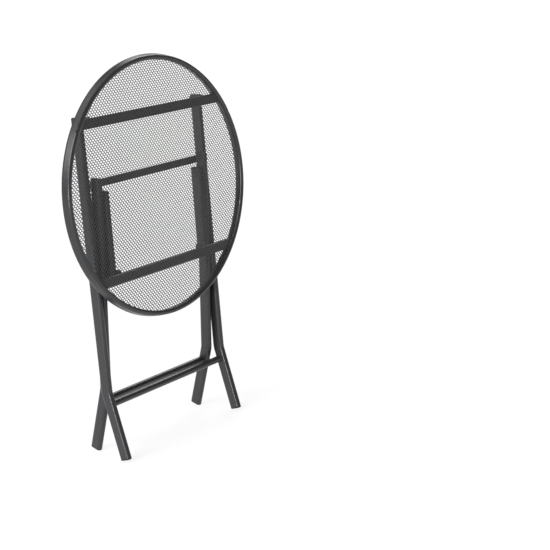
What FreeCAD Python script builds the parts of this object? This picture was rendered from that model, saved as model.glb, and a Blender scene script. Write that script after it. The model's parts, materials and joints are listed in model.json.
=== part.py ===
import FreeCAD, Part
import math
import os

import Sketcher

# Folding bistro table, standing folded: a round mesh top on a scissor of two bent tube frames.
# +X is across the table, +Y points away from the table top's upper face, +Z is up.
# The origin is on the floor, below the scissor pivot. All sizes are in millimetres.

DIMENSIONS = [
    # Table top
    ("top_diameter", 600.0, "outer diameter of the ring"),
    ("ring_width", 12.0, "flat-oval ring tube, narrow way"),
    ("ring_depth", 24.0, "flat-oval ring tube, wide way"),
    ("ring_cant", 12.0, "lean of the ring tube, widest at the underside, degrees"),
    ("ring_wall", 1.2, "ring tube wall"),
    ("mesh_front", 5.2, "upper face of the ring to the mesh"),
    ("mesh_thickness", 0.8, "expanded sheet metal"),
    ("mesh_diameter", 570.2, "mesh panel"),
    ("rail_front", 6.2, "upper face of the ring to the rails"),
    ("rail_depth", 12.0, "rail tube, along the top's axis"),
    ("rail_height", 22.4, "rail tube, in the top's plane"),
    ("rail_wall", 1.2, "rail tube wall"),
    ("rail_corner", 2.5, "rounding of the rail tube"),
    ("rail_gap", 0.2, "rail end to the ring's narrowest"),
    ("hinge_rail_level", 171.5, "hinge rail above the top's centre"),
    ("brace_rail_level", -181.2, "brace rail from the top's centre"),
    # Hinge and brace axes on the top, measured from the centre of its upper face
    ("hinge_depth", 47.7, "hinge axis behind the upper face"),
    ("hinge_level", 172.0, "hinge axis above the top's centre"),
    ("brace_depth", 40.2, "brace axis behind the upper face"),
    ("brace_level", -177.0, "brace axis from the top's centre"),
    ("lug_radius", 12.0, "rounded end of a lug"),
    ("lug_thickness", 4.0, "lug plate"),
    ("lug_gap", 0.5, "lug to the tube beside it"),
    # Flat-oval tube of both leg frames and the braces
    ("tube_depth", 29.0, "flat-oval tube, wide way"),
    ("tube_thickness", 15.0, "flat-oval tube, narrow way"),
    ("tube_wall", 1.4, "flat-oval tube wall"),
    ("outer_place", 200.0, "outer leg from the middle"),
    ("inner_place", 180.0, "inner leg from the middle"),
    ("brace_place", 160.0, "brace from the middle"),
    ("bend_radius", 60.0, "bend of a leg, at its centre line"),
    ("leg_bend", 14.0, "turn of the bend, degrees"),
    ("pivot_to_bend", 264.5, "scissor pivot to the corner of the bend"),
    ("bend_to_foot", 160.0, "corner of the bend to the foot's end"),
    ("pivot_to_hinge", 348.0, "scissor pivot to the hinge axis"),
    ("pivot_to_brace", 180.5, "scissor pivot to the brace axis on the inner leg"),
    ("inner_reach", 225.0, "scissor pivot to the inner leg's top end"),
    ("end_reach", 12.5, "hole to the plugged end of a tube"),
    ("fold_angle", 2.4855, "lean of each leg when folded, degrees"),
    ("top_lean", 3.3745, "lean of the folded top, degrees"),
    # Cross members
    ("stretcher_diameter", 16.0, "round stretcher tube"),
    ("stretcher_wall", 1.4, "stretcher tube wall"),
    ("outer_stretcher_drop", 28.5, "corner of the bend to the outer frame's stretcher"),
    ("inner_stretcher_drop", 30.5, "corner of the bend to the inner frame's stretcher"),
    ("weld_gap", 0.1, "cross member's end to the tube it is welded to"),
    ("strap_height", 17.0, "stop strap across the inner legs"),
    ("strap_thickness", 3.0, "stop strap"),
    ("strap_drop", 16.4, "inner leg's top end to the strap's middle"),
    ("strap_length", 366.0, "stop strap"),
    # Plastic ends
    ("cap_height", 4.0, "part of a foot cap below the tube"),
    ("cap_rounding", 3.0, "lower edge of a foot cap"),
    ("plug_height", 4.0, "part of an end plug outside the tube"),
    ("plug_rounding", 3.0, "edge of an end plug"),
    ("cap_insert", 14.0, "part of a foot cap inside the tube"),
    ("plug_insert", 4.0, "part of an end plug inside the tube"),
    ("insert_gap", 0.1, "insert to the tube's wall"),
    # Pivots
    ("pin_radius", 4.0, "shank of every pivot"),
    ("pin_clearance", 0.05, "radial, in every hole"),
    ("side_gap", 0.3, "between pivot faces that turn on each other"),
    ("bolt_head_radius", 7.0, "low domed head outside the legs"),
    ("bolt_head_height", 3.5, "low domed head outside the legs"),
    ("flat_head_radius", 6.0, "flat head between two tubes"),
    ("flat_head_height", 2.5, "flat head between two tubes"),
    ("spacer_radius", 9.0, "plastic spacer between two tubes"),
    ("nut_radius", 7.5, "nut across its corners, halved"),
    ("nut_height", 6.0, "nut"),
    ("head_rounding", 1.6, "edge of a head"),
]

doc = FreeCAD.newDocument("bistro_table")
sheet = doc.addObject("Spreadsheet::Sheet", "Dimensions")
dim = {}


def write_dimension(row, name, value, note=""):
    """Put one named number in the sheet, and keep its value for placements."""
    sheet.set("A%d" % row, name)
    sheet.set("B%d" % row, "%.6g" % value)
    sheet.set("C%d" % row, note)
    sheet.setAlias("B%d" % row, name)
    dim[name] = value


for number, (alias, size, meaning) in enumerate(DIMENSIONS, start=1):
    write_dimension(number, alias, size, meaning)

X_AXIS = FreeCAD.Vector(1, 0, 0)
ALONG_X = FreeCAD.Rotation(FreeCAD.Vector(0, 1, 0), 90)


def turn(angle):
    """Rotation about the table's own cross axis, in degrees."""
    return FreeCAD.Rotation(X_AXIS, angle)


def place(x, y, z, angle=0.0):
    return FreeCAD.Placement(FreeCAD.Vector(x, y, z), turn(angle))


# Where things are. The pivot stands over the origin, on two frames that lean equally.

def foot_drop():
    """Height of the scissor pivot above the floor that the rounded feet stand on."""
    upper = math.radians(dim["fold_angle"])
    lower = math.radians(dim["fold_angle"] + dim["leg_bend"])
    rounding = dim["cap_rounding"]
    centre_drop = dim["pivot_to_bend"] * math.cos(upper) + dim["bend_to_foot"] * math.cos(lower)
    edge_drop = (dim["tube_depth"] / 2 - rounding) * math.sin(lower) + rounding * (1 - math.cos(lower))
    return centre_drop + edge_drop


PIVOT = FreeCAD.Vector(0, 0, foot_drop())
OUTER_TURN = -dim["fold_angle"]
INNER_TURN = dim["fold_angle"]
HINGE = PIVOT + turn(OUTER_TURN).multVec(FreeCAD.Vector(0, 0, dim["pivot_to_hinge"]))
INNER_BRACE_AXIS = PIVOT + turn(INNER_TURN).multVec(FreeCAD.Vector(0, 0, dim["pivot_to_brace"]))
TOP_TURN = turn(-dim["top_lean"])
TOP_CENTRE = HINGE - TOP_TURN.multVec(FreeCAD.Vector(0, dim["hinge_depth"], dim["hinge_level"]))
TOP_PLACE = FreeCAD.Placement(TOP_CENTRE, TOP_TURN)
TOP_BRACE_AXIS = TOP_PLACE.multVec(FreeCAD.Vector(0, dim["brace_depth"], dim["brace_level"]))
BRACE_RUN = INNER_BRACE_AXIS - TOP_BRACE_AXIS
BRACE_TURN = -math.degrees(math.atan2(BRACE_RUN.y, BRACE_RUN.z))
write_dimension(len(DIMENSIONS) + 1, "brace_length", BRACE_RUN.Length, "hole to hole, closes the linkage")
doc.recompute()

SIDES = (("left", -1), ("right", 1))


# Sketch helpers. Every size is a named constraint bound to the sheet.

def bind(sketch, constraint, name, expression):
    """Add a dimension constraint and let the sheet drive it."""
    index = sketch.addConstraint(constraint)
    sketch.renameConstraint(index, name)
    sketch.setExpression("Constraints." + name, expression)


def new_sketch(body, name, plane, lift=None):
    """Sketch on one of the body's own origin planes, lifted along its normal."""
    sketch = body.newObject("Sketcher::SketchObject", name)
    support = [item for item in body.Origin.OriginFeatures if item.Role == plane][0]
    sketch.AttachmentSupport = (support, [""])
    sketch.MapMode = "FlatFace"
    if lift:
        sketch.setExpression("AttachmentOffset.Base.z", lift)
    return sketch


def draw_circle(sketch, name, radius):
    circle = sketch.addGeometry(Part.Circle(FreeCAD.Vector(0, 0, 0), FreeCAD.Vector(0, 0, 1), 10.0))
    sketch.addConstraint(Sketcher.Constraint("Coincident", circle, 3, -1, 1))
    bind(sketch, Sketcher.Constraint("Radius", circle, 10.0), name, radius)


def add_slot(sketch, low, high, radius):
    """Two half circles about low and high, joined by tangent lines. Returns both arcs and one line."""
    normal = FreeCAD.Vector(0, 0, 1)
    run = high - low
    heading = math.atan2(run.y, run.x)
    side = FreeCAD.Vector(-math.sin(heading), math.cos(heading), 0) * radius
    right_angle = heading - math.pi / 2
    arc_up = sketch.addGeometry(Part.ArcOfCircle(
        Part.Circle(high, normal, radius), right_angle, right_angle + math.pi))
    left = sketch.addGeometry(Part.LineSegment(high + side, low + side))
    arc_down = sketch.addGeometry(Part.ArcOfCircle(
        Part.Circle(low, normal, radius), right_angle + math.pi, right_angle + 2 * math.pi))
    right = sketch.addGeometry(Part.LineSegment(low - side, high - side))
    for first, second in ((arc_up, left), (left, arc_down), (arc_down, right), (right, arc_up)):
        sketch.addConstraint(Sketcher.Constraint("Tangent", first, 2, second, 1))
    sketch.addConstraint(Sketcher.Constraint("Equal", arc_up, arc_down))
    return arc_up, arc_down, left


def draw_slot(sketch, name, length, width):
    """Flat oval about the origin, long way up the sketch."""
    half, radius = 5.0, 5.0
    arc_up, arc_down, left = add_slot(sketch, FreeCAD.Vector(0, -half, 0), FreeCAD.Vector(0, half, 0), radius)
    sketch.addConstraint(Sketcher.Constraint("Vertical", left))
    sketch.addConstraint(Sketcher.Constraint("Symmetric", arc_up, 3, arc_down, 3, -1, 1))
    bind(sketch, Sketcher.Constraint("Radius", arc_up, radius), name + "_radius", "(%s) / 2" % width)
    bind(sketch, Sketcher.Constraint("DistanceY", arc_down, 3, arc_up, 3, 2 * half),
         name + "_run", "(%s) - (%s)" % (length, width))


def draw_rim_slot(sketch, name, radius):
    """Outline of the ring tube at the right of the top's axis, leaning by the ring's cant."""
    run = dim["ring_depth"] - dim["ring_width"]
    cant = math.radians(dim["ring_cant"])
    high = FreeCAD.Vector((dim["top_diameter"] - dim["ring_width"]) / 2,
                          dim["ring_width"] / 2 + run * math.cos(cant), 0)
    low = high - FreeCAD.Vector(run * math.sin(cant), run * math.cos(cant), 0)
    start_radius = dim["ring_width"] / 2
    arc_up, arc_down, _ = add_slot(sketch, low, high, start_radius)
    bind(sketch, Sketcher.Constraint("Radius", arc_up, start_radius), name + "_radius", radius)
    run_text = "(Dimensions.ring_depth - Dimensions.ring_width)"
    across = "(Dimensions.top_diameter - Dimensions.ring_width) / 2"
    for arc, place_name, point, x_text, y_text in (
            (arc_up, "under", high, across,
             "Dimensions.ring_width / 2 + %s * cos(Dimensions.ring_cant * 1 deg)" % run_text),
            (arc_down, "upper", low, "%s - %s * sin(Dimensions.ring_cant * 1 deg)" % (across, run_text),
             "Dimensions.ring_width / 2")):
        label = "%s_%s" % (name, place_name)
        bind(sketch, Sketcher.Constraint("DistanceX", -1, 1, arc, 3, point.x), label + "_x", x_text)
        bind(sketch, Sketcher.Constraint("DistanceY", -1, 1, arc, 3, point.y), label + "_y", y_text)


def draw_box(sketch, name, width, height):
    """Rectangle centred on the origin."""
    corners = [FreeCAD.Vector(x, y, 0) for x, y in ((-5, -5), (5, -5), (5, 5), (-5, 5))]
    lines = [sketch.addGeometry(Part.LineSegment(corners[i], corners[(i + 1) % 4])) for i in range(4)]
    for i in range(4):
        sketch.addConstraint(Sketcher.Constraint("Coincident", lines[i], 2, lines[(i + 1) % 4], 1))
    for i, direction in enumerate(("Horizontal", "Vertical", "Horizontal", "Vertical")):
        sketch.addConstraint(Sketcher.Constraint(direction, lines[i]))
    sketch.addConstraint(Sketcher.Constraint("Symmetric", lines[0], 1, lines[2], 1, -1, 1))
    bind(sketch, Sketcher.Constraint("DistanceX", lines[0], 1, lines[0], 2, 10.0), name + "_width", width)
    bind(sketch, Sketcher.Constraint("DistanceY", lines[1], 1, lines[1], 2, 10.0), name + "_height", height)


def draw_bent_path(sketch, sign, start, end_trim):
    """Leg's centre line in the YZ plane: straight down, one bend towards sign, straight to the foot."""
    drop = dim["pivot_to_bend"]
    angle = math.radians(dim["leg_bend"])
    radius = dim["bend_radius"]
    cut = radius * math.tan(angle / 2)
    top = FreeCAD.Vector(0, 300, 0)
    arc_start = FreeCAD.Vector(0, -drop + cut, 0)
    arc_end = FreeCAD.Vector(sign * cut * math.sin(angle), -drop - cut * math.cos(angle), 0)
    lower_end = FreeCAD.Vector(sign * 150 * math.sin(angle), -drop - 150 * math.cos(angle), 0)
    centre = FreeCAD.Vector(sign * radius, arc_start.y, 0)
    circle = Part.Circle(centre, FreeCAD.Vector(0, 0, 1), radius)
    if sign > 0:
        arc_shape = Part.ArcOfCircle(circle, math.pi, math.pi + angle)
        near, far = 1, 2
    else:
        arc_shape = Part.ArcOfCircle(circle, -angle, 0)
        near, far = 2, 1
    upper = sketch.addGeometry(Part.LineSegment(top, arc_start))
    arc = sketch.addGeometry(arc_shape)
    lower = sketch.addGeometry(Part.LineSegment(arc_end, lower_end))
    corner = sketch.addGeometry(Part.Point(FreeCAD.Vector(0, -drop, 0)), True)
    sketch.addConstraint(Sketcher.Constraint("Tangent", upper, 2, arc, near))
    sketch.addConstraint(Sketcher.Constraint("Tangent", arc, far, lower, 1))
    sketch.addConstraint(Sketcher.Constraint("PointOnObject", upper, 1, -2))
    sketch.addConstraint(Sketcher.Constraint("PointOnObject", corner, 1, -2))
    sketch.addConstraint(Sketcher.Constraint("PointOnObject", corner, 1, lower))
    sketch.addConstraint(Sketcher.Constraint("Vertical", upper))
    bind(sketch, Sketcher.Constraint("DistanceY", -1, 1, upper, 1, 300.0), "top_end", start)
    bind(sketch, Sketcher.Constraint("DistanceY", corner, 1, -1, 1, drop), "bend_place",
         "Dimensions.pivot_to_bend")
    bind(sketch, Sketcher.Constraint("Radius", arc, radius), "bend_radius", "Dimensions.bend_radius")
    bind(sketch, Sketcher.Constraint("Distance", corner, 1, lower, 2, 150.0), "lower_length",
         "Dimensions.bend_to_foot - %s" % end_trim)
    sides = (upper, 2, lower, 1) if sign < 0 else (lower, 1, upper, 2)
    bind(sketch, Sketcher.Constraint("Angle", *sides, math.pi - angle), "bend_turn",
         "(180 - Dimensions.leg_bend) * 1 deg")


def new_body(name, placement):
    body = doc.addObject("PartDesign::Body", name)
    body.Label = name
    body.Placement = placement
    return body


def pad(body, name, sketch, length, both_ways=False):
    feature = body.newObject("PartDesign::Pad", name)
    feature.Profile = sketch
    feature.setExpression("Length", length)
    feature.Midplane = both_ways
    return feature


def cross_hole(body, name, level):
    """Pivot hole through both walls of a tube, along X, at a height above the body's origin."""
    sketch = new_sketch(body, name + "_sketch", "YZ_Plane")
    hole = sketch.addGeometry(Part.Circle(FreeCAD.Vector(0, 1, 0), FreeCAD.Vector(0, 0, 1), 4.0))
    bind(sketch, Sketcher.Constraint("Radius", hole, 4.0), "hole_radius",
         "Dimensions.pin_radius + Dimensions.pin_clearance")
    if level:
        sketch.addConstraint(Sketcher.Constraint("PointOnObject", hole, 3, -2))
        bind(sketch, Sketcher.Constraint("DistanceY", -1, 1, hole, 3, 1.0), "hole_level", level)
    else:
        sketch.addConstraint(Sketcher.Constraint("Coincident", hole, 3, -1, 1))
    pocket = body.newObject("PartDesign::Pocket", name)
    pocket.Profile = sketch
    pocket.Type = "ThroughAll"
    pocket.Midplane = True
    return pocket


def draw_tube_section(sketch):
    """The flat-oval tube's outer and inner outline."""
    draw_slot(sketch, "outside", "Dimensions.tube_depth", "Dimensions.tube_thickness")
    draw_slot(sketch, "inside", "Dimensions.tube_depth - 2 * Dimensions.tube_wall",
              "Dimensions.tube_thickness - 2 * Dimensions.tube_wall")


# Table top

def make_ring():
    """Rolled flat-oval tube, hollow all the way round."""
    body = new_body("top_ring", TOP_PLACE)
    sketch = new_sketch(body, "ring_section", "XY_Plane")
    draw_rim_slot(sketch, "outside", "Dimensions.ring_width / 2")
    draw_rim_slot(sketch, "inside", "Dimensions.ring_width / 2 - Dimensions.ring_wall")
    ring = body.newObject("PartDesign::Revolution", "ring_turn")
    ring.Profile = sketch
    ring.ReferenceAxis = (sketch, ["V_Axis"])
    ring.Angle = 360.0
    return body


def make_mesh_panel():
    """The expanded-metal infill's true outline and thickness."""
    body = new_body("mesh_panel", TOP_PLACE)
    sketch = new_sketch(body, "mesh_outline", "XZ_Plane",
                        "-(Dimensions.mesh_front + Dimensions.mesh_thickness)")
    draw_circle(sketch, "rim", "Dimensions.mesh_diameter / 2")
    pad(body, "mesh_sheet", sketch, "Dimensions.mesh_thickness")
    return body


def make_rail(name, level):
    """Rectangular tube across the ring, with its ends cut to the ring's inner face."""
    middle_depth = dim["rail_front"] + dim["rail_depth"] / 2
    shift = FreeCAD.Placement(FreeCAD.Vector(0, middle_depth, dim[level]), FreeCAD.Rotation())
    body = new_body(name, TOP_PLACE * shift)
    section = new_sketch(body, name + "_section", "YZ_Plane")
    draw_box(section, "outside", "Dimensions.rail_depth", "Dimensions.rail_height")
    draw_box(section, "inside", "Dimensions.rail_depth - 2 * Dimensions.rail_wall",
             "Dimensions.rail_height - 2 * Dimensions.rail_wall")
    bar = pad(body, name + "_bar", section, "Dimensions.top_diameter", True)
    doc.recompute()
    long_edges = []
    for number, edge in enumerate(bar.Shape.Edges, start=1):
        box = edge.BoundBox
        is_long = box.XLength > dim["top_diameter"] / 2
        is_outside = abs(abs(box.Center.y) - dim["rail_depth"] / 2) < 0.01
        if is_long and is_outside:
            long_edges.append("Edge%d" % number)
    rounding = body.newObject("PartDesign::Fillet", name + "_rounding")
    rounding.Base = (bar, long_edges)
    rounding.setExpression("Radius", "Dimensions.rail_corner")
    doc.recompute()
    trim = new_sketch(body, name + "_trim", "XZ_Plane")
    cant_run = "(Dimensions.ring_depth - Dimensions.ring_width) * sin(Dimensions.ring_cant * 1 deg)"
    ring_narrowest = "Dimensions.top_diameter / 2 - Dimensions.ring_width - " + cant_run
    for circle_name, radius in (
            ("ring_face", ring_narrowest + " - Dimensions.rail_gap"),
            ("beyond", "Dimensions.top_diameter")):
        circle = trim.addGeometry(Part.Circle(FreeCAD.Vector(0, 1, 0), FreeCAD.Vector(0, 0, 1), 10.0))
        trim.addConstraint(Sketcher.Constraint("PointOnObject", circle, 3, -2))
        bind(trim, Sketcher.Constraint("Radius", circle, 10.0), circle_name, radius)
        low, high = ((circle, 3), (-1, 1)) if dim[level] > 0 else ((-1, 1), (circle, 3))
        bind(trim, Sketcher.Constraint("DistanceY", *low, *high, 1.0), circle_name + "_place",
             "abs(Dimensions.%s)" % level)
    cope = body.newObject("PartDesign::Pocket", name + "_cope")
    cope.Profile = trim
    cope.Type = "ThroughAll"
    cope.Midplane = True
    return body


def make_lug(name, side, neighbour, depth, level):
    """Plate on the back of a rail, with a rounded end about its pivot hole."""
    x = dim[neighbour] - dim["tube_thickness"] / 2 - dim["lug_gap"] - dim["lug_thickness"] / 2
    pivot = FreeCAD.Placement(FreeCAD.Vector(side * x, dim[depth], dim[level]), FreeCAD.Rotation())
    body = new_body(name, TOP_PLACE * pivot)
    sketch = new_sketch(body, name + "_outline", "YZ_Plane")
    radius, reach = dim["lug_radius"], dim[depth]
    arc = sketch.addGeometry(Part.ArcOfCircle(
        Part.Circle(FreeCAD.Vector(0, 0, 0), FreeCAD.Vector(0, 0, 1), radius), -math.pi / 2, math.pi / 2))
    outline = ((0, radius), (-reach, radius), (-reach, -radius), (0, -radius))
    corners = [FreeCAD.Vector(x, y, 0) for x, y in outline]
    top, foot, base = [
        sketch.addGeometry(Part.LineSegment(start, end)) for start, end in zip(corners, corners[1:])]
    sketch.addConstraint(Sketcher.Constraint("Coincident", arc, 3, -1, 1))
    sketch.addConstraint(Sketcher.Constraint("Tangent", arc, 2, top, 1))
    sketch.addConstraint(Sketcher.Constraint("Coincident", top, 2, foot, 1))
    sketch.addConstraint(Sketcher.Constraint("Coincident", foot, 2, base, 1))
    sketch.addConstraint(Sketcher.Constraint("Tangent", base, 2, arc, 1))
    sketch.addConstraint(Sketcher.Constraint("Horizontal", top))
    sketch.addConstraint(Sketcher.Constraint("Vertical", foot))
    sketch.addConstraint(Sketcher.Constraint("Horizontal", base))
    bind(sketch, Sketcher.Constraint("Radius", arc, radius), "end_radius", "Dimensions.lug_radius")
    bind(sketch, Sketcher.Constraint("DistanceX", top, 2, -1, 1, reach), "reach",
         "Dimensions.%s - Dimensions.rail_front - Dimensions.rail_depth - Dimensions.weld_gap" % depth)
    pad(body, name + "_plate", sketch, "Dimensions.lug_thickness", True)
    cross_hole(body, name + "_hole", None)
    return body


# Leg frames

def make_leg(name, side, offset, angle, sign, top_reach, holes):
    """Bent flat-oval tube, built about the scissor pivot with its upper run along the body's Z."""
    body = new_body(name, place(side * dim[offset], PIVOT.y, PIVOT.z, angle))
    path = new_sketch(body, name + "_path", "YZ_Plane")
    draw_bent_path(path, sign, top_reach, "Dimensions.cap_height")
    section = new_sketch(body, name + "_section", "XY_Plane", top_reach)
    draw_tube_section(section)
    doc.recompute()
    sweep = body.newObject("PartDesign::AdditivePipe", name + "_sweep")
    sweep.Profile = section
    sweep.Spine = path
    sweep.Mode = "Standard"
    doc.recompute()
    for hole_name, level in holes:
        cross_hole(body, name + "_" + hole_name, level)
    return body


def make_brace(name, side):
    """Straight flat-oval bar from the brace rail up to the inner leg; its origin is on its lower axis."""
    axis = TOP_BRACE_AXIS
    body = new_body(name, place(side * dim["brace_place"], axis.y, axis.z, BRACE_TURN))
    section = new_sketch(body, name + "_section", "XY_Plane",
                         "-(Dimensions.end_reach - Dimensions.plug_height)")
    draw_tube_section(section)
    pad(body, name + "_bar", section,
        "Dimensions.brace_length + 2 * (Dimensions.end_reach - Dimensions.plug_height)")
    doc.recompute()
    cross_hole(body, name + "_lower_hole", None)
    cross_hole(body, name + "_upper_hole", "Dimensions.brace_length")
    return body


def make_end_piece(name, placement, kind):
    """Plastic cap or plug on a tube's end, with an insert up the tube. The tube's end is its XY plane."""
    body = new_body(name, placement)
    outline = new_sketch(body, name + "_outline", "XY_Plane", "-Dimensions.%s_height" % kind)
    draw_slot(outline, "rim", "Dimensions.tube_depth", "Dimensions.tube_thickness")
    cap = pad(body, name + "_end", outline, "Dimensions.%s_height" % kind)
    doc.recompute()
    rim = [face for face in cap.Shape.Faces if face.normalAt(0, 0).z < -0.9][0]
    edges = [number for number, edge in enumerate(cap.Shape.Edges, start=1)
             if any(edge.isSame(item) for item in rim.Edges)]
    soft = body.newObject("PartDesign::Fillet", name + "_edge")
    soft.Base = (cap, ["Edge%d" % number for number in edges])
    soft.setExpression("Radius", "Dimensions.%s_rounding" % kind)
    insert = new_sketch(body, name + "_insert_outline", "XY_Plane")
    draw_slot(insert, "insert", "Dimensions.tube_depth - 2 * (Dimensions.tube_wall + Dimensions.insert_gap)",
              "Dimensions.tube_thickness - 2 * (Dimensions.tube_wall + Dimensions.insert_gap)")
    pad(body, name + "_insert", insert, "Dimensions.%s_insert" % kind)
    return body


def make_stretcher(name, angle, sign, place_name, drop_name):
    """Round tube between a frame's two legs, just below their bends."""
    lower = math.radians(dim["leg_bend"])
    drop = dim[drop_name]
    offset = FreeCAD.Vector(0, sign * drop * math.sin(lower), -dim["pivot_to_bend"] - drop * math.cos(lower))
    centre = PIVOT + turn(angle).multVec(offset)
    body = new_body(name, place(0, centre.y, centre.z, angle))
    section = new_sketch(body, name + "_section", "YZ_Plane")
    draw_circle(section, "outside", "Dimensions.stretcher_diameter / 2")
    draw_circle(section, "inside", "Dimensions.stretcher_diameter / 2 - Dimensions.stretcher_wall")
    pad(body, name + "_tube", section,
        "2 * Dimensions.%s - Dimensions.tube_thickness - 2 * Dimensions.weld_gap" % place_name, True)
    return body


def make_strap():
    """Flat bar across the back of the inner legs' top ends, which stops the braces when they are straight."""
    strap = doc.addObject("Part::Box", "inner_strap")
    strap.Label = "inner_strap"
    strap.setExpression("Length", "Dimensions.strap_length")
    strap.setExpression("Width", "Dimensions.strap_thickness")
    strap.setExpression("Height", "Dimensions.strap_height")
    leg_frame = place(PIVOT.x, PIVOT.y, PIVOT.z, INNER_TURN)
    strap.Placement = leg_frame * place(-dim["strap_length"] / 2, dim["tube_depth"] / 2 + dim["weld_gap"],
                                        dim["inner_reach"] - dim["strap_drop"] - dim["strap_height"] / 2)
    return strap


# Pivots. Each is turned about its own X axis, made on the right side and mirrored to the left.

def turned(name, axis, start, length, radius):
    """Cylinder along X from start, about an axis point."""
    cylinder = doc.addObject("Part::Cylinder", name)
    cylinder.setExpression("Radius", radius)
    cylinder.setExpression("Height", length)
    cylinder.Placement = FreeCAD.Placement(FreeCAD.Vector(start, axis.y, axis.z), ALONG_X)
    return cylinder


def pair(name, piece):
    """One node holding the right piece and its mirror image on the left."""
    other = doc.addObject("Part::Mirroring", name + "_left")
    other.Source = piece
    other.Normal = X_AXIS
    group = doc.addObject("Part::Compound", name)
    group.Label = name
    group.Links = [piece, other]
    return group


def make_headed_pin(name, axis, head_face, tip, head_kind):
    """Pin with a rounded head: the head starts at head_face and the shank ends at tip."""
    outward = 1 if head_face > tip else -1
    head_height = head_kind + "_height"
    shank_start = min(head_face, tip)
    shank = turned(name + "_shank", axis, shank_start, "%.4f" % abs(head_face - tip), "Dimensions.pin_radius")
    head_start = head_face if outward > 0 else head_face - dim[head_height]
    head = turned(name + "_head", axis, head_start, "Dimensions." + head_height,
                  "Dimensions.%s_radius" % head_kind)
    pin = doc.addObject("Part::Fuse", name + "_pin")
    pin.Base = head
    pin.Tool = shank
    doc.recompute()
    rim_x = head_face + outward * dim[head_height]
    rims = [number for number, edge in enumerate(pin.Shape.Edges, start=1)
            if abs(edge.BoundBox.Center.x - rim_x) < 0.01 and edge.BoundBox.XLength < 0.01]
    rounded = doc.addObject("Part::Fillet", name + "_rounded")
    rounded.Base = pin
    rounded.Edges = [(number, dim["head_rounding"], dim["head_rounding"]) for number in rims]
    return pair(name, rounded)


def make_washer(name, axis, start, length, radius):
    """Plain ring on a pin: a spacer, or the collar that a pin is closed with."""
    outside = turned(name + "_outside", axis, start, length, radius)
    bore = turned(name + "_bore", axis, start, length, "Dimensions.pin_radius + Dimensions.pin_clearance")
    ring = doc.addObject("Part::Cut", name + "_ring")
    ring.Base = outside
    ring.Tool = bore
    return pair(name, ring)


def make_nut(name, axis, start):
    """Hexagon nut on a pin."""
    blank = doc.addObject("Part::Prism", name + "_blank")
    blank.Polygon = 6
    blank.setExpression("Circumradius", "Dimensions.nut_radius")
    blank.setExpression("Height", "Dimensions.nut_height")
    blank.Placement = FreeCAD.Placement(FreeCAD.Vector(start, axis.y, axis.z), ALONG_X)
    bore = turned(name + "_bore", axis, start, "Dimensions.nut_height",
                  "Dimensions.pin_radius + Dimensions.pin_clearance")
    nut = doc.addObject("Part::Cut", name + "_hex")
    nut.Base = blank
    nut.Tool = bore
    return pair(name, nut)


def make_table_top():
    nodes = [make_ring(), make_mesh_panel()]
    nodes.append(make_rail("hinge_rail", "hinge_rail_level"))
    nodes.append(make_rail("brace_rail", "brace_rail_level"))
    for word, side in SIDES:
        nodes.append(make_lug("hinge_lug_" + word, side, "outer_place", "hinge_depth", "hinge_level"))
        nodes.append(make_lug("brace_lug_" + word, side, "brace_place", "brace_depth", "brace_level"))
    return nodes


def make_frame(kind, offset, angle, sign, top_reach, holes):
    """One leg frame: two bent legs, their stretcher, foot caps and top plugs."""
    nodes = []
    foot_turn = math.radians(dim["leg_bend"])
    foot_run = dim["bend_to_foot"] - dim["cap_height"]
    foot_end = FreeCAD.Vector(0, sign * foot_run * math.sin(foot_turn),
                              -dim["pivot_to_bend"] - foot_run * math.cos(foot_turn))
    foot = PIVOT + turn(angle).multVec(foot_end)
    top = PIVOT + turn(angle).multVec(FreeCAD.Vector(0, 0, top_reach))
    plugs = []
    for word, side in SIDES:
        x = side * dim[offset]
        reach = "%.4f" % top_reach
        nodes.append(make_leg("%s_leg_%s" % (kind, word), side, offset, angle, sign, reach, holes))
        foot_place = place(x, foot.y, foot.z, angle + sign * dim["leg_bend"])
        nodes.append(make_end_piece("%s_foot_%s" % (kind, word), foot_place, "cap"))
        plug_place = place(x, top.y, top.z, angle + 180.0)
        plugs.append(make_end_piece("%s_plug_%s" % (kind, word), plug_place, "plug"))
    nodes.append(make_stretcher(kind + "_stretcher", angle, sign, offset, kind + "_stretcher_drop"))
    nodes.append(group_of(kind + "_top_plugs", plugs))
    return nodes


def group_of(name, pieces):
    """One node for identical pieces that stay separate solids."""
    group = doc.addObject("Part::Compound", name)
    group.Label = name
    group.Links = pieces
    return group


def make_braces():
    nodes = []
    plugs = []
    for word, side in SIDES:
        nodes.append(make_brace("brace_" + word, side))
        reach = dim["end_reach"] - dim["plug_height"]
        base = place(side * dim["brace_place"], TOP_BRACE_AXIS.y, TOP_BRACE_AXIS.z, BRACE_TURN)
        lower = base * place(0, 0, -reach)
        upper = base * place(0, 0, dim["brace_length"] + reach, 180.0)
        plugs.append(make_end_piece("brace_lower_plug_" + word, lower, "plug"))
        plugs.append(make_end_piece("brace_upper_plug_" + word, upper, "plug"))
    nodes.append(group_of("brace_plugs", plugs))
    return nodes


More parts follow.
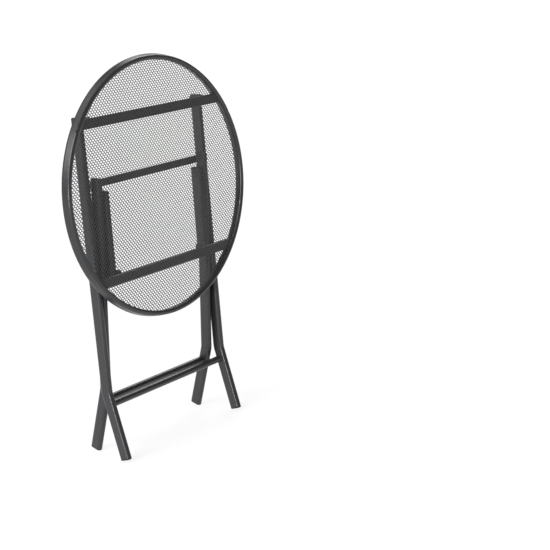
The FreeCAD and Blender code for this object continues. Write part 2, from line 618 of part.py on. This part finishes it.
def make_pivots():
    """Pins, spacers, collars and nuts of the four pivots, from the outer legs inwards."""
    half = dim["tube_thickness"] / 2
    gap = dim["side_gap"]
    outer_face = dim["outer_place"] + half
    outer_inside = dim["outer_place"] - half
    inner_outside = dim["inner_place"] + half
    inner_inside = dim["inner_place"] - half
    brace_outside = dim["brace_place"] + half
    brace_inside = dim["brace_place"] - half
    collar = dim["flat_head_height"]
    between = outer_inside - inner_outside
    spacer = "%.4f" % (between - 2 * gap)
    collar_start = inner_inside - gap - collar
    nodes = [
        make_headed_pin("scissor_bolts", PIVOT, outer_face + gap, collar_start, "bolt_head"),
        make_washer("scissor_spacers", PIVOT, inner_outside + gap, spacer, "Dimensions.spacer_radius"),
        make_washer("scissor_collars", PIVOT, collar_start, "Dimensions.flat_head_height",
                    "Dimensions.flat_head_radius"),
    ]
    # Top hinge: head outside the outer leg, nut inside the lug
    lug_inside = outer_inside - dim["lug_gap"] - dim["lug_thickness"]
    nut_start = lug_inside - dim["nut_height"]
    nodes.append(make_headed_pin("hinge_bolts", HINGE, outer_face + gap, nut_start, "bolt_head"))
    nodes.append(make_nut("hinge_nuts", HINGE, nut_start))
    # Lower end of the braces: flat head between brace and inner leg, nut inside the lug
    lug_inside = brace_inside - dim["lug_gap"] - dim["lug_thickness"]
    nut_start = lug_inside - dim["nut_height"]
    nodes.append(make_headed_pin("brace_bolts", TOP_BRACE_AXIS, brace_outside + gap, nut_start, "flat_head"))
    nodes.append(make_nut("brace_nuts", TOP_BRACE_AXIS, nut_start))
    # Upper end of the braces, where the linkage is opened: one half in the inner leg, one in the brace
    rivet_end = brace_outside + gap
    rivet_split = brace_outside - dim["weld_gap"]
    spacer = "%.4f" % (inner_inside - rivet_end - dim["weld_gap"])
    nodes.append(make_headed_pin("leg_rivets", INNER_BRACE_AXIS, inner_outside, rivet_end, "flat_head"))
    nodes.append(make_washer("brace_spacers", INNER_BRACE_AXIS, rivet_end, spacer,
                             "Dimensions.spacer_radius"))
    nodes.append(make_headed_pin("brace_rivets", INNER_BRACE_AXIS, brace_inside, rivet_split, "flat_head"))
    return nodes


def make_nodes():
    nodes = make_table_top()
    outer_reach = dim["pivot_to_hinge"] + dim["end_reach"] - dim["plug_height"]
    outer_holes = (("pivot_hole", None), ("hinge_hole", "Dimensions.pivot_to_hinge"))
    nodes += make_frame("outer", "outer_place", OUTER_TURN, -1, outer_reach, outer_holes)
    inner_reach = dim["inner_reach"] - dim["plug_height"]
    inner_holes = (("pivot_hole", None), ("brace_hole", "Dimensions.pivot_to_brace"))
    nodes += make_frame("inner", "inner_place", INNER_TURN, 1, inner_reach, inner_holes)
    nodes.append(make_strap())
    nodes += make_braces()
    nodes += make_pivots()
    return nodes


def check(nodes):
    """Stop unless every object computed and every node is a sound shape."""
    for item in doc.Objects:
        if "Invalid" in item.State or "Error" in item.State:
            raise RuntimeError("%s failed: %s" % (item.Name, item.State))
    for node in nodes:
        shape = node.Shape
        if shape.isNull() or not shape.isValid() or not shape.Solids:
            raise RuntimeError("%s has no sound shape" % node.Label)


def main():
    nodes = make_nodes()
    doc.recompute()
    check(nodes)
    os.makedirs("parts", exist_ok=True)
    for node in nodes:
        node.Shape.exportStep(os.path.join("parts", node.Label + ".step"))
        box = node.Shape.BoundBox
        print("%-20s solids %d  volume %10.1f  x %.1f..%.1f  y %.1f..%.1f  z %.1f..%.1f" % (
            node.Label, len(node.Shape.Solids), node.Shape.Volume,
            box.XMin, box.XMax, box.YMin, box.YMax, box.ZMin, box.ZMax))
    for word, point in (("scissor", PIVOT), ("hinge", HINGE), ("brace on top", TOP_BRACE_AXIS),
                        ("brace on leg", INNER_BRACE_AXIS), ("top centre", TOP_CENTRE)):
        print("%-14s y %.3f z %.3f" % (word, point.y, point.z))


main()
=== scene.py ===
import bmesh
import bpy
import json
import math
from mathutils import Matrix, Vector


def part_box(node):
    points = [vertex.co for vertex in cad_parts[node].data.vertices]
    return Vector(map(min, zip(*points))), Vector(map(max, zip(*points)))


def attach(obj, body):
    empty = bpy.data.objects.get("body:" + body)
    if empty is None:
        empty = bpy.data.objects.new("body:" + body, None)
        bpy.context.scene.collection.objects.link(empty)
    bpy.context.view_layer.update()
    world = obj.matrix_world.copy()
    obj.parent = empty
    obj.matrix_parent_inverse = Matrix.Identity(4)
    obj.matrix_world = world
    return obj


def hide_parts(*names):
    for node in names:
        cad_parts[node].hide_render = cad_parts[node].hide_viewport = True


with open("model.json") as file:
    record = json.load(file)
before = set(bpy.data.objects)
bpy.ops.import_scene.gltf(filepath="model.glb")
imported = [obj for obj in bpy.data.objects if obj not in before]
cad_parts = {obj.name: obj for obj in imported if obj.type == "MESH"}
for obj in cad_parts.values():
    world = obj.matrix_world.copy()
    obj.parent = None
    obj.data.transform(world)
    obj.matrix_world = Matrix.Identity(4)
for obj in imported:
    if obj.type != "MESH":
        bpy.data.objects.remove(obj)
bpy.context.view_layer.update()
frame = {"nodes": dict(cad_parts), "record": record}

# The folding bistro table, standing folded, on a pale studio floor.
# Metres; +X across the table, +Z up, -Y the way the folded top's upper face looks.

MM = 0.001

# The leaning table top: the middle of the mesh's front, and the top's own directions.
surface = next(mount for mount in frame["record"]["mounts"] if mount["name"] == "table_surface")
MESH_FRONT = Vector(surface["pos_m"])
ACROSS = Vector((1, 0, 0))
FACE_OUT = Vector(surface["axis"]).normalized()
UP_FACE = FACE_OUT.cross(ACROSS).normalized()


def face_matrix(origin):
    """Local x across the table, y up the face, z out of the face."""
    rows = [(ACROSS[i], UP_FACE[i], FACE_OUT[i], origin[i]) for i in range(3)]
    return Matrix(rows + [(0, 0, 0, 1)])


def middle_of(node):
    low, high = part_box(node)
    return (low + high) / 2


def leaning_size(node):
    """Depth across the face and height up it, of a bar that leans with the table top."""
    low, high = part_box(node)
    span_y, span_z = (high - low).y, (high - low).z
    cos, sin = UP_FACE.z, abs(UP_FACE.y)
    share = cos * cos - sin * sin
    return (span_y * cos - span_z * sin) / share, (span_z * cos - span_y * sin) / share


# Materials

COAT_COLOUR = (0.020, 0.0205, 0.0225)
# Painted light: the mesh wears the same anthracite coat as the tubes, and its colour here is made lighter
# to paint in the light falling on its strands.
MESH_COLOUR_PAINTED_LIGHTER = (0.048, 0.049, 0.052)
FASTENER_COLOUR = (0.018, 0.018, 0.019)
PLASTIC_COLOUR = (0.008, 0.008, 0.009)

# Noise values at which a ramp reaches its low and its high end
RAMP_START = 0.3
RAMP_END = 0.7


def new_material(name):
    """Material with one Principled shader; returns the material, its node tree and the shader."""
    material = bpy.data.materials.new(name)
    material.use_nodes = True
    tree = material.node_tree
    tree.nodes.clear()
    out = tree.nodes.new("ShaderNodeOutputMaterial")
    shader = tree.nodes.new("ShaderNodeBsdfPrincipled")
    tree.links.new(shader.outputs["BSDF"], out.inputs["Surface"])
    return material, tree, shader


def shade(colour, share):
    return tuple(channel * share for channel in colour)


def noise(tree, scale, detail):
    """Noise over the object's own space, in metres."""
    place = tree.nodes.new("ShaderNodeTexCoord")
    node = tree.nodes.new("ShaderNodeTexNoise")
    node.inputs["Scale"].default_value = scale
    node.inputs["Detail"].default_value = detail
    tree.links.new(place.outputs["Object"], node.inputs["Vector"])
    return node.outputs["Fac"]


def ramp(tree, value, low, high):
    """Map a noise value to a range of numbers or of colours."""
    node = tree.nodes.new("ShaderNodeValToRGB")
    node.color_ramp.elements[0].position = RAMP_START
    node.color_ramp.elements[1].position = RAMP_END
    for element, colour in zip(node.color_ramp.elements, (low, high)):
        if isinstance(colour, float):
            colour = (colour, colour, colour)
        element.color = (*colour, 1.0)
    tree.links.new(value, node.inputs["Fac"])
    return node.outputs["Color"]


def add_bump(tree, shader, height, strength, distance):
    bump = tree.nodes.new("ShaderNodeBump")
    bump.inputs["Strength"].default_value = strength
    bump.inputs["Distance"].default_value = distance
    tree.links.new(height, bump.inputs["Height"])
    tree.links.new(bump.outputs["Normal"], shader.inputs["Normal"])


def powder_coat(name, colour):
    """Satin powder coat: fine orange peel, faint clouds in colour and gloss."""
    material, tree, shader = new_material(name)
    cloud = noise(tree, scale=9.0, detail=3.0)
    grain = noise(tree, scale=700.0, detail=2.0)
    tree.links.new(ramp(tree, cloud, shade(colour, 0.86), shade(colour, 1.14)), shader.inputs["Base Color"])
    tree.links.new(ramp(tree, grain, low=0.26, high=0.36), shader.inputs["Roughness"])
    add_bump(tree, shader, grain, strength=0.25, distance=0.2 * MM)
    shader.inputs["Specular IOR Level"].default_value = 0.5
    return material


def moulded_plastic(name, colour):
    """Matte moulded plastic with a fine spark-eroded grain."""
    material, tree, shader = new_material(name)
    cloud = noise(tree, scale=60.0, detail=2.0)
    grain = noise(tree, scale=1800.0, detail=3.0)
    tree.links.new(ramp(tree, cloud, shade(colour, 0.8), shade(colour, 1.3)), shader.inputs["Base Color"])
    tree.links.new(ramp(tree, grain, low=0.55, high=0.75), shader.inputs["Roughness"])
    add_bump(tree, shader, grain, strength=0.3, distance=0.1 * MM)
    return material


# One procedural material for each of the record's slots
MATERIALS = {
    "anthracite_coat": powder_coat("tube_powder_coat", COAT_COLOUR),
    # Painted light: the mesh's copy of the coat is lighter than the tubes' coat, standing in for the light
    # on its strands.
    "mesh_coat": powder_coat("mesh_powder_coat_painted_light", MESH_COLOUR_PAINTED_LIGHTER),
    "fastener_coat": powder_coat("fastener_finish", FASTENER_COLOUR),
    "black_plastic": moulded_plastic("cap_plastic", PLASTIC_COLOUR),
}


def finish_cad_nodes():
    """Give every CAD node the procedural material of its slot."""
    for entry in frame["record"]["subparts"]:
        node = frame["nodes"][entry["node"]]
        node.data.materials.clear()
        node.data.materials.append(MATERIALS[entry["material_slot"]])


# Pieces made here

def add_piece(name, mesh, body, slot_name):
    """Object that rides on a CAD body and takes a slot's finish."""
    piece = bpy.data.objects.new(name, mesh)
    bpy.context.scene.collection.objects.link(piece)
    mesh.materials.append(MATERIALS[slot_name])
    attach(piece, body)
    return piece


def merge_and_close(mesh, distance):
    """Merge points nearer than the distance, close any open ends and turn every face outwards."""
    build = bmesh.new()
    build.from_mesh(mesh)
    bmesh.ops.remove_doubles(build, verts=build.verts, dist=distance)
    open_edges = [edge for edge in build.edges if edge.is_boundary]
    bmesh.ops.holes_fill(build, edges=open_edges, sides=0)
    bmesh.ops.recalc_face_normals(build, faces=build.faces)
    build.to_mesh(mesh)
    build.free()


# Expanded metal. The two strand widths were chosen to bring out diagonal streaks, and aren't measured.

OPENING_WIDTH = 8.33 * MM
OPENING_HEIGHT = 10.0 * MM
RISING_STRAND = 1.9 * MM
FALLING_STRAND = 2.6 * MM
KNUCKLE_WIDTH = 2.8 * MM
KNUCKLE_HEIGHT = 4.6 * MM
STRAND_EDGE = 0.4 * MM
STRAND_MERGE = 0.02 * MM
SHEET = 0.55 * MM
SHEET_SETBACK = 0.4 * MM  # the CAD panel's front to the middle of the sheet
STRAND_TILT = 0.45  # lift out of the sheet for each unit across the table
PANEL_RADIUS = 285.9 * MM
PANEL_PARTS = 4

# Points of the cell's outline that end each half strand, where the next cell joins on
STRAND_ENDS = ((1, 2), (4, 5), (7, 8), (10, 11))


def strand_cell():
    """Outline of one knuckle and its four half strands: 12 points, each with its lift out of the sheet."""
    waist = Vector((KNUCKLE_WIDTH / 2, 0))
    tip = Vector((0, KNUCKLE_HEIGHT / 2))
    outline = []
    for sign_x, sign_y, width, corner in ((1, 1, RISING_STRAND, waist), (-1, 1, FALLING_STRAND, tip),
                                          (-1, -1, RISING_STRAND, -waist), (1, -1, FALLING_STRAND, -tip)):
        reach = Vector((sign_x * OPENING_WIDTH / 4, sign_y * OPENING_HEIGHT / 4))
        side = reach.orthogonal().normalized() * width / 2
        outline.append((corner, -STRAND_TILT * corner.x))
        outline.append((reach - side, STRAND_TILT * side.x))
        outline.append((reach + side, -STRAND_TILT * side.x))
    return outline


def inset(outline, amount):
    """Smaller outline; its strand ends stay in line with the larger one's, so that cells still meet."""
    partner = {}
    for first, second in STRAND_ENDS:
        partner[first] = second
        partner[second] = first
    result = []
    for i, (point, rise) in enumerate(outline):
        if i in partner:
            other, other_rise = outline[partner[i]]
            share = amount / (other - point).length
            result.append((point.lerp(other, share), rise + (other_rise - rise) * share))
        else:
            share = 1 - amount / point.length
            result.append((point * share, rise * share))
    return result


def add_cell(verts, faces, middle, levels, place):
    """Add one cell: its front, its back and its sides, with none at the strand ends."""
    start = len(verts)
    for outline, level in levels:
        for point, rise in outline:
            flat = middle + point
            if flat.length > PANEL_RADIUS:
                flat = flat * (PANEL_RADIUS / flat.length)
            verts.append(place @ Vector((flat.x, flat.y, level + rise)))
    count = len(levels[0][0])
    faces.append([start + k for k in range(count)])
    faces.append([start + 2 * count + k for k in reversed(range(count))])
    strand_starts = [first for first, _ in STRAND_ENDS]
    for row in (start, start + count):
        for k in range(count):
            if k in strand_starts:
                continue
            a = row + k
            b = row + (k + 1) % count
            faces.append([b, a, a + count, b + count])


def make_panel():
    """Diamond expanded metal, cut to the ring, in a few pieces side by side."""
    outline = strand_cell()
    small = inset(outline, STRAND_EDGE)
    levels = ((small, SHEET / 2), (outline, 0.0), (small, -SHEET / 2))
    columns = int(PANEL_RADIUS / (OPENING_WIDTH / 2)) + 1
    rows = int(PANEL_RADIUS / (OPENING_HEIGHT / 2)) + 1
    place = face_matrix(MESH_FRONT - FACE_OUT * SHEET_SETBACK)
    parts = [([], []) for _ in range(PANEL_PARTS)]
    for i in range(-columns, columns + 1):
        for j in range(-rows, rows + 1):
            middle = Vector((i * OPENING_WIDTH / 2, j * OPENING_HEIGHT / 2))
            if (i + j) % 2 or middle.length > PANEL_RADIUS + KNUCKLE_WIDTH:
                continue
            part = int((middle.x / PANEL_RADIUS + 1) / 2 * PANEL_PARTS)
            verts, faces = parts[min(part, PANEL_PARTS - 1)]
            add_cell(verts, faces, middle, levels, place)
    for number, (verts, faces) in enumerate(parts, start=1):
        name = "expanded_mesh_%d" % number
        mesh = bpy.data.meshes.new(name)
        mesh.from_pydata(verts, [], faces)
        merge_and_close(mesh, STRAND_MERGE)
        piece = add_piece(name, mesh, "table_top", "mesh_coat")
        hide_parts("mesh_panel")


# Weld beads

RING_BORE = 285.5 * MM
RAIL_CORNER = 1.5 * MM
CORNER_STEPS = 8

THIN_BEAD = 1.3 * MM
RAIL_BEAD = 1.5 * MM
BEAD_SIDES = 8
BEAD_STEP = 0.6 * MM
BEAD_END_SHARE = 0.45
RIPPLE_PITCH = 2.2 * MM
RIPPLE_SHARE = 0.16
SAME_POINT_SHARE = 0.1  # points nearer than this share of a step count as one

STRETCHER_BEAD_INSET = 0.7 * MM
RAIL_BEAD_INSET = 0.4 * MM
LUG_BEAD_MARGIN = 3.0 * MM
STRAP_BEAD_MARGIN = 2.0 * MM
# The strap leans, so its bead lies deeper in the strap's box at the bottom than at the top.
STRAP_BEAD_DEPTH_LOW = 1.6 * MM
STRAP_BEAD_DEPTH_HIGH = 1.0 * MM


def resample(path, step):
    """Points at even steps along each run of a polyline; a run with no length is left out."""
    points = [path[0]]
    for start, end in zip(path, path[1:]):
        if (end - start).length < step * SAME_POINT_SHARE:
            continue
        parts = max(1, round((end - start).length / step))
        points += [start.lerp(end, k / parts) for k in range(1, parts + 1)]
    return points


def bead(name, body, path, radius):
    """Rippled weld bead along a path; a path that ends where it starts makes a closed loop."""
    points = resample(path, BEAD_STEP)
    closed = (points[0] - points[-1]).length < BEAD_STEP * SAME_POINT_SHARE
    if closed:
        points.pop()
    count = len(points)
    verts, faces = [], []
    for k, point in enumerate(points):
        after = points[(k + 1) % count] if closed or k + 1 < count else point
        before = points[k - 1] if closed or k else point
        along = (after - before).normalized()
        out = (ACROSS - along * ACROSS.dot(along)).normalized()
        other = along.cross(out)
        swell = radius * (1 + RIPPLE_SHARE * math.sin(2 * math.pi * k * BEAD_STEP / RIPPLE_PITCH))
        if not closed and k in (0, count - 1):
            swell = radius * BEAD_END_SHARE
        for side in range(BEAD_SIDES):
            turn = 2 * math.pi * side / BEAD_SIDES
            verts.append(point + (out * math.cos(turn) + other * math.sin(turn)) * swell)
    for k in range(count if closed else count - 1):
        ahead = ((k + 1) % count) * BEAD_SIDES
        for side in range(BEAD_SIDES):
            a, b = k * BEAD_SIDES + side, k * BEAD_SIDES + (side + 1) % BEAD_SIDES
            faces.append((a, b, ahead + b % BEAD_SIDES, ahead + a % BEAD_SIDES))
    if not closed:
        faces.append(list(reversed(range(BEAD_SIDES))))
        faces.append([(count - 1) * BEAD_SIDES + side for side in range(BEAD_SIDES)])
    mesh = bpy.data.meshes.new(name)
    mesh.from_pydata(verts, [], faces)
    mesh.shade_smooth()
    add_piece(name, mesh, body, "anthracite_coat")


def rounded_loop(width, height, corner):
    """Closed rectangle with round corners, as pairs about its middle; the last pair repeats the first."""
    pairs = []
    for quarter, (sx, sy) in enumerate(((1, 1), (-1, 1), (-1, -1), (1, -1))):
        for k in range(CORNER_STEPS + 1):
            turn = (quarter + k / CORNER_STEPS) * math.pi / 2
            pairs.append((sx * (width / 2 - corner) + corner * math.cos(turn),
                          sy * (height / 2 - corner) + corner * math.sin(turn)))
    return pairs + pairs[:1]


def weld_stretchers():
    """A bead round each end of both round stretchers."""
    for node, body in (("outer_stretcher", "outer_frame"), ("inner_stretcher", "inner_frame")):
        low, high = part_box(node)
        centre = middle_of(node)
        width = high.z - low.z
        loop = rounded_loop(width, width, width / 2)
        for side, x in (("left", low.x + STRETCHER_BEAD_INSET), ("right", high.x - STRETCHER_BEAD_INSET)):
            path = [Vector((x, centre.y + y, centre.z + z)) for y, z in loop]
            bead("weld_%s_%s" % (node, side), body, path, THIN_BEAD)


def weld_rail_ends(rail):
    """A bead round each end of a rail, following the ring's bore."""
    centre = middle_of(rail)
    depth, height = leaning_size(rail)
    level = (centre - MESH_FRONT).dot(UP_FACE)
    for side, sign in (("left", -1), ("right", 1)):
        path = []
        for out, up in rounded_loop(depth, height, RAIL_CORNER):
            reach = math.sqrt(RING_BORE ** 2 - (level + up) ** 2) - RAIL_BEAD_INSET
            path.append(Vector((sign * reach, centre.y, centre.z)) + FACE_OUT * out + UP_FACE * up)
        bead("weld_%s_%s" % (rail, side), "table_top", path, RAIL_BEAD)


def weld_lug(lug, rail):
    """A bead up both sides of a lug, on the back of its rail."""
    centre = middle_of(rail)
    depth, height = leaning_size(rail)
    low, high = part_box(lug)
    reach = UP_FACE * (height / 2 - LUG_BEAD_MARGIN)
    for side, x in (("a", low.x), ("b", high.x)):
        foot = Vector((x, centre.y, centre.z)) - FACE_OUT * (depth / 2)
        bead("weld_%s_%s" % (lug, side), "table_top", [foot - reach, foot + reach], THIN_BEAD)


def weld_rails():
    """The beads of both rails and of their lugs."""
    for rail, lugs in (("hinge_rail", ("hinge_lug_left", "hinge_lug_right")),
                       ("brace_rail", ("brace_lug_left", "brace_lug_right"))):
        weld_rail_ends(rail)
        for lug in lugs:
            weld_lug(lug, rail)


def weld_strap():
    """A bead down each end of the flat strap on the backs of the inner legs."""
    low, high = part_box("inner_strap")
    for side, x in (("left", low.x), ("right", high.x)):
        path = [Vector((x, low.y + STRAP_BEAD_DEPTH_LOW, low.z + STRAP_BEAD_MARGIN)),
                Vector((x, low.y + STRAP_BEAD_DEPTH_HIGH, high.z - STRAP_BEAD_MARGIN))]
        bead("weld_inner_strap_%s" % side, "inner_frame", path, THIN_BEAD)


# Bolts

SOCKET_ACROSS = 5.0 * MM
SOCKET_DEPTH = 2.0 * MM
SOCKET_POINT = 0.5 * MM
HEAD_HEIGHT = 3.5 * MM
HEAD_CHAMFER = 0.3 * MM
# The head's dome, from its edge inwards: shares of the head's radius and of its height below the top
HEAD_DOME = ((1.0, 0.72), (0.93, 0.4), (0.78, 0.14), (0.6, 0.0))
SHANK_RADIUS = 3.9 * MM
SHANK_CHAMFER = 0.6 * MM
SHANK_TIP_SHARE = 0.85
HINGE_BOLT_LENGTH = 29.3 * MM
SCISSOR_BOLT_LENGTH = 41.6 * MM
BOLT_SEGMENTS = 48
BOLT_MERGE = 0.01 * MM
SHARP_EDGE = math.radians(35)
HEXAGON = None  # in a profile, stands for the socket's side, whose radius changes round the bolt


def socket_radius(turn):
    """Distance from the middle to the side of the hexagon in that direction."""
    sixth = math.pi / 3
    return SOCKET_ACROSS / 2 / math.cos((turn % sixth) - sixth / 2)


def bolt_profile(head_radius, length):
    """Radius and distance below the head's top, from the shank's tip round to the socket's bottom."""
    shank = [(0.0, length), (SHANK_RADIUS * SHANK_TIP_SHARE, length),
             (SHANK_RADIUS, length - SHANK_CHAMFER), (SHANK_RADIUS, HEAD_HEIGHT)]
    edge = [(head_radius - HEAD_CHAMFER, HEAD_HEIGHT), (head_radius, HEAD_HEIGHT - HEAD_CHAMFER)]
    dome = [(head_radius * across, HEAD_HEIGHT * down) for across, down in HEAD_DOME]
    socket = [(HEXAGON, 0.0), (HEXAGON, SOCKET_DEPTH), (0.0, SOCKET_DEPTH + SOCKET_POINT)]
    return shank + edge + dome + socket


def socket_bolts(node, body, length):
    """Domed bolt heads with a hexagon socket, one each side, in place of the node's plain ones."""
    low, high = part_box(node)
    centre = middle_of(node)
    profile = bolt_profile((high.z - low.z) / 2, length)
    for side, sign, top in (("left", -1, low.x), ("right", 1, high.x)):
        verts, faces = [], []
        for radius, down in profile:
            for k in range(BOLT_SEGMENTS):
                turn = 2 * math.pi * k / BOLT_SEGMENTS
                reach = socket_radius(turn) if radius is HEXAGON else radius
                verts.append(Vector((top - sign * down, centre.y + reach * math.cos(turn),
                                     centre.z + reach * math.sin(turn))))
        for row in range(len(profile) - 1):
            for k in range(BOLT_SEGMENTS):
                a, b = row * BOLT_SEGMENTS + k, row * BOLT_SEGMENTS + (k + 1) % BOLT_SEGMENTS
                quad = [a, a + BOLT_SEGMENTS, b + BOLT_SEGMENTS, b]
                faces.append(quad if sign > 0 else quad[::-1])
        name = "%s_%s" % (node.rstrip("s"), side)
        mesh = bpy.data.meshes.new(name)
        mesh.from_pydata(verts, [], faces)
        mesh.shade_smooth()
        merge_and_close(mesh, BOLT_MERGE)
        mesh.set_sharp_from_angle(angle=SHARP_EDGE)
        piece = add_piece(name, mesh, body, "fastener_coat")
        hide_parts(node)


# Studio

CAMERA_PLACE = Vector((-2.4039, -2.2100, 1.2000))
CAMERA_HEADING = math.radians(52.310)
CAMERA_PITCH = math.radians(14.298)
CAMERA_ROLL = math.radians(-2.718)
SENSOR_WIDTH = 36.0  # millimetres, as Blender's cameras have it
LENS_PER_WIDTH = 2.6090909  # focal length for each unit of sensor width

WHITE = (1, 1, 1, 1)
WORLD_STRENGTH = 0.24
# Name, direction that the light comes from, power and angle across in degrees
LIGHTS = (
    ("key", (-1.0, 0.1, 0.7), 2.8, 40.0),
    ("fill", (-0.95, -0.25, 0.0), 2.3, 10.0),
    ("overhead", (-0.2, 0.3, 1.0), 0.6, 40.0),
    ("rim", (0.72, 0.35, 0.6), 0.9, 30.0),
)

# The floor is partly self-lit, so that it stays near white and almost free of shadows.
FLOOR_HALF = 60.0
FLOOR_COLOUR = (0.16, 0.16, 0.16, 1)
FLOOR_GLOW = 0.83
FLOOR_ROUGHNESS = 0.9


def make_camera():
    data = bpy.data.cameras.new("camera")
    camera = bpy.data.objects.new("camera", data)
    bpy.context.scene.collection.objects.link(camera)
    data.sensor_width = SENSOR_WIDTH
    data.lens = LENS_PER_WIDTH * SENSOR_WIDTH
    forward = Vector((math.sin(CAMERA_HEADING) * math.cos(CAMERA_PITCH),
                      math.cos(CAMERA_HEADING) * math.cos(CAMERA_PITCH), -math.sin(CAMERA_PITCH)))
    level = Vector((math.cos(CAMERA_HEADING), -math.sin(CAMERA_HEADING), 0))
    rise = level.cross(forward)
    right = level * math.cos(CAMERA_ROLL) + rise * math.sin(CAMERA_ROLL)
    above = rise * math.cos(CAMERA_ROLL) - level * math.sin(CAMERA_ROLL)
    rows = [(right[i], above[i], -forward[i], CAMERA_PLACE[i]) for i in range(3)]
    camera.matrix_world = Matrix(rows + [(0, 0, 0, 1)])
    bpy.context.scene.camera = camera


def make_world():
    world = bpy.data.worlds.new("studio")
    world.use_nodes = True
    background = world.node_tree.nodes["Background"]
    background.inputs["Color"].default_value = WHITE
    background.inputs["Strength"].default_value = WORLD_STRENGTH
    bpy.context.scene.world = world


def make_lights():
    for name, towards, power, softness in LIGHTS:
        data = bpy.data.lights.new(name, "SUN")
        data.energy = power
        data.angle = math.radians(softness)
        light = bpy.data.objects.new(name, data)
        bpy.context.scene.collection.objects.link(light)
        light.rotation_euler = Vector(towards).to_track_quat("Z", "Y").to_euler()


def make_floor():
    corners = [(x * FLOOR_HALF, y * FLOOR_HALF, 0) for x, y in ((-1, -1), (1, -1), (1, 1), (-1, 1))]
    mesh = bpy.data.meshes.new("floor")
    mesh.from_pydata(corners, [], [(0, 1, 2, 3)])
    floor = bpy.data.objects.new("floor", mesh)
    bpy.context.scene.collection.objects.link(floor)
    material, tree, shader = new_material("floor_paint")
    shader.inputs["Base Color"].default_value = FLOOR_COLOUR
    shader.inputs["Emission Color"].default_value = WHITE
    shader.inputs["Emission Strength"].default_value = FLOOR_GLOW
    shader.inputs["Roughness"].default_value = FLOOR_ROUGHNESS
    mesh.materials.append(material)


def make_studio():
    bpy.context.scene.view_settings.view_transform = "Standard"
    make_world()
    make_lights()
    make_floor()


def main():
    finish_cad_nodes()
    make_panel()
    weld_stretchers()
    weld_rails()
    weld_strap()
    socket_bolts("hinge_bolts", "table_top", HINGE_BOLT_LENGTH)
    socket_bolts("scissor_bolts", "scissor_pivot", SCISSOR_BOLT_LENGTH)
    make_studio()
    make_camera()


main()
